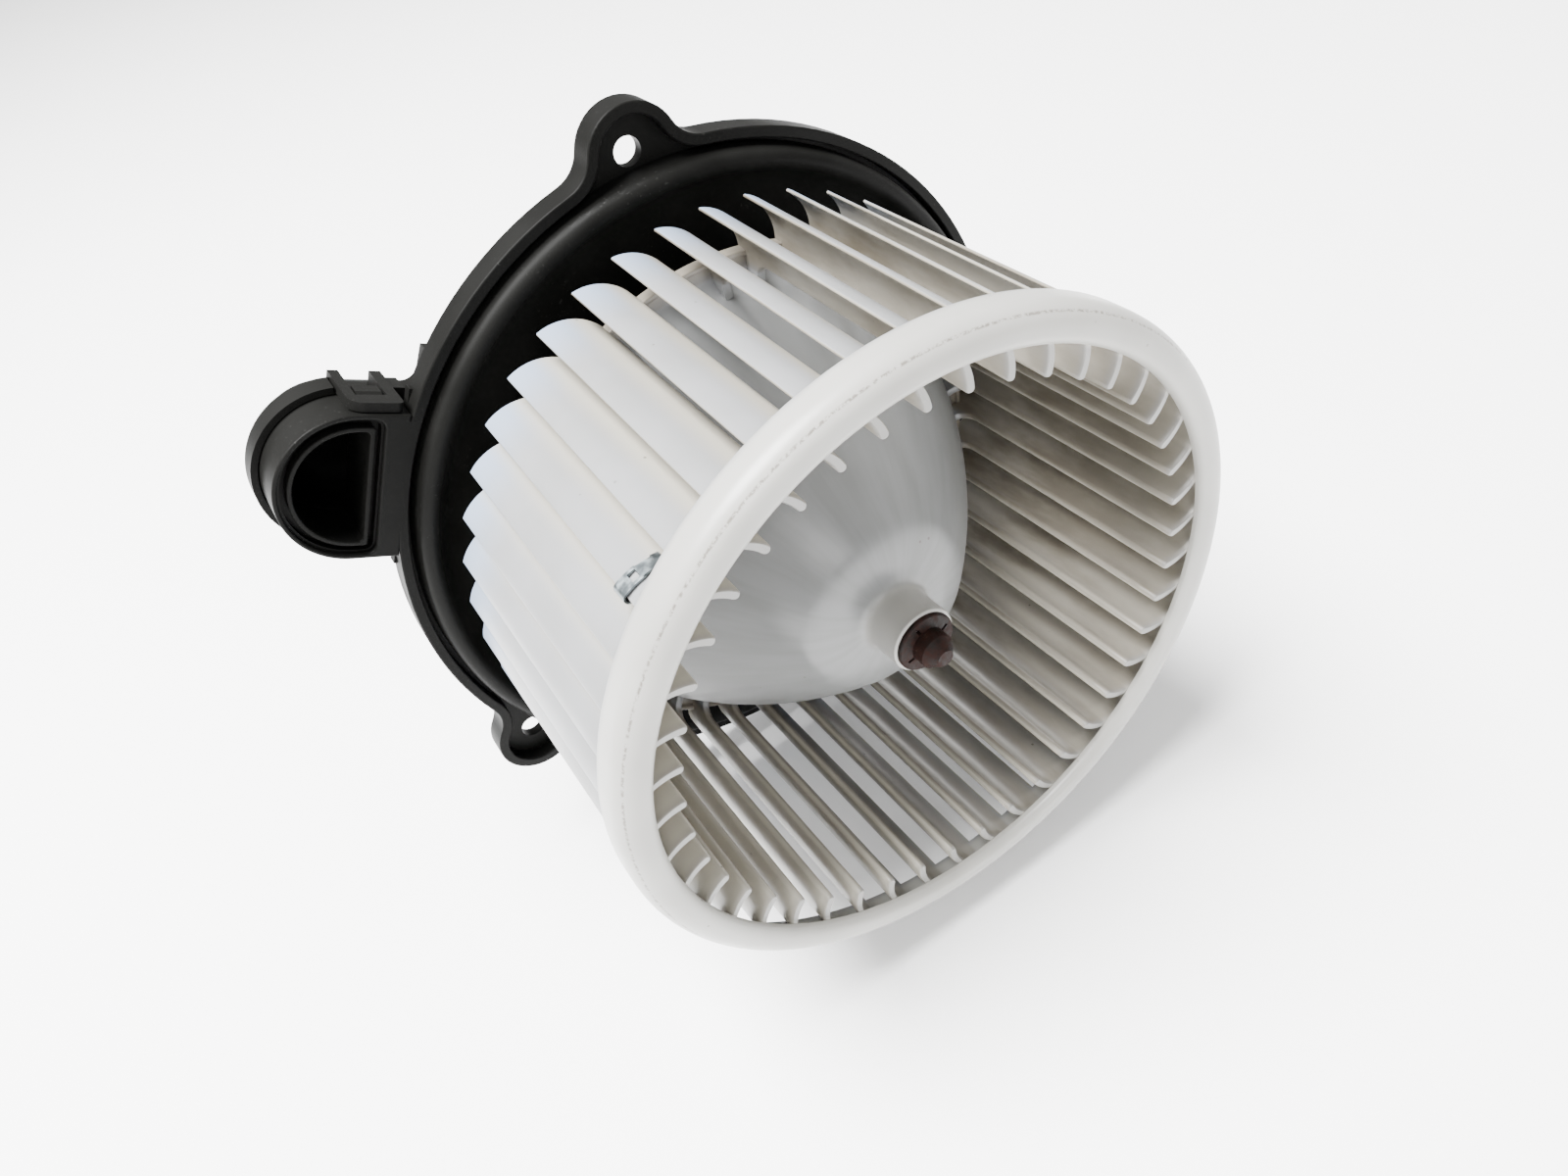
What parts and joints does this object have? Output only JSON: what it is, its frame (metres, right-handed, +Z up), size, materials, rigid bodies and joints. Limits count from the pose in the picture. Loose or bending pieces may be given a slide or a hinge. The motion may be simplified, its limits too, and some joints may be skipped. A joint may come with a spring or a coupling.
{
  "type": "heater blower motor and wheel",
  "caption": "Car heater blower: squirrel-cage wheel on a brush motor in a black flange housing with mounting ears and a D-shaped cooling inlet.",
  "frame": {"origin": "centre of the three mounting holes' circle, on the front plane of the ears", "axes": "+Y along the spin axis from the wheel's mouth towards the motor's rear, +Z up through the upper ear, +X to the right seen from the mouth"},
  "size_m": [0.1817, 0.1483, 0.1783],
  "materials": {
    "black_plastic": "fine matte moulded black polypropylene",
    "zinc_screws": "zinc-plated screw heads",
    "zinc_steel": "drawn zinc-plated sheet steel",
    "ferrite": "dark grey sintered ferrite",
    "spring_steel": "bare spring steel",
    "rubber": "black moulded rubber",
    "bronze": "oiled sintered bronze",
    "felt": "oil-soaked wool felt",
    "phenolic": "dark brown phenolic moulding",
    "brass": "stamped brass",
    "carbon": "dull graphite block",
    "copper": "enamelled copper winding",
    "commutator_copper": "bare turned copper bars",
    "wire_insulation": "red lead insulation",
    "grey_plastic": "dark grey moulded nylon",
    "tinned_brass": "tinned brass blade terminals",
    "white_plastic": "off-white translucent polypropylene, lightly soiled",
    "rusted_steel": "brown surface rust",
    "core_steel": "stacked steel laminations",
    "nylon": "natural nylon",
    "zinc_clip": "zinc-plated spring clip"
  },
  "bodies": {
    "housing": {"flange_housing": "black_plastic", "inlet_duct": "black_plastic", "rear_cover": "black_plastic", "cooling_elbow": "black_plastic", "cover_screws": "zinc_screws", "motor_can": "zinc_steel", "end_plate": "zinc_steel", "magnet_left": "ferrite", "magnet_right": "ferrite", "magnet_clips": "spring_steel", "front_isolator": "rubber", "rear_isolator": "rubber", "front_bearing": "bronze", "rear_bearing": "bronze", "oil_felts": "felt", "bearing_retainers": "spring_steel", "brush_card": "phenolic", "brush_holder_upper": "brass", "brush_holder_lower": "brass", "brush_spring_upper": "spring_steel", "brush_spring_lower": "spring_steel", "choke_cores": "ferrite", "choke_windings": "copper", "lead_wires": "wire_insulation", "connector_shroud": "grey_plastic", "terminal_pins": "tinned_brass"},
    "brush_upper": {"brush_upper": "carbon"},
    "brush_lower": {"brush_lower": "carbon"},
    "rotor": {"wheel_hub": "white_plastic", "wheel_blades": "white_plastic", "wheel_ring": "white_plastic", "shaft": "rusted_steel", "armature_core": "core_steel", "armature_windings": "copper", "commutator": "commutator_copper", "commutator_hub": "phenolic", "spacer_tube": "nylon", "thrust_washers": "nylon", "retaining_washer": "rusted_steel", "balance_clip": "zinc_clip"}
  },
  "joints": [
    {"name": "fan_spin", "type": "hinge", "parent": "housing", "child": "rotor", "pos_m": [0, 0, 0], "axis": [0, -1, 0], "continuous": true},
    {"name": "brush_upper_slide", "type": "slide", "parent": "housing", "child": "brush_upper", "axis": [0, 0, 1], "range_m": [0, 0.004], "stiffness_N_per_m": 120, "springref_m": -0.006, "deforming": ["brush_spring_upper"]},
    {"name": "brush_lower_slide", "type": "slide", "parent": "housing", "child": "brush_lower", "axis": [0, 0, -1], "range_m": [0, 0.004], "stiffness_N_per_m": 120, "springref_m": -0.006, "deforming": ["brush_spring_lower"]}
  ]
}
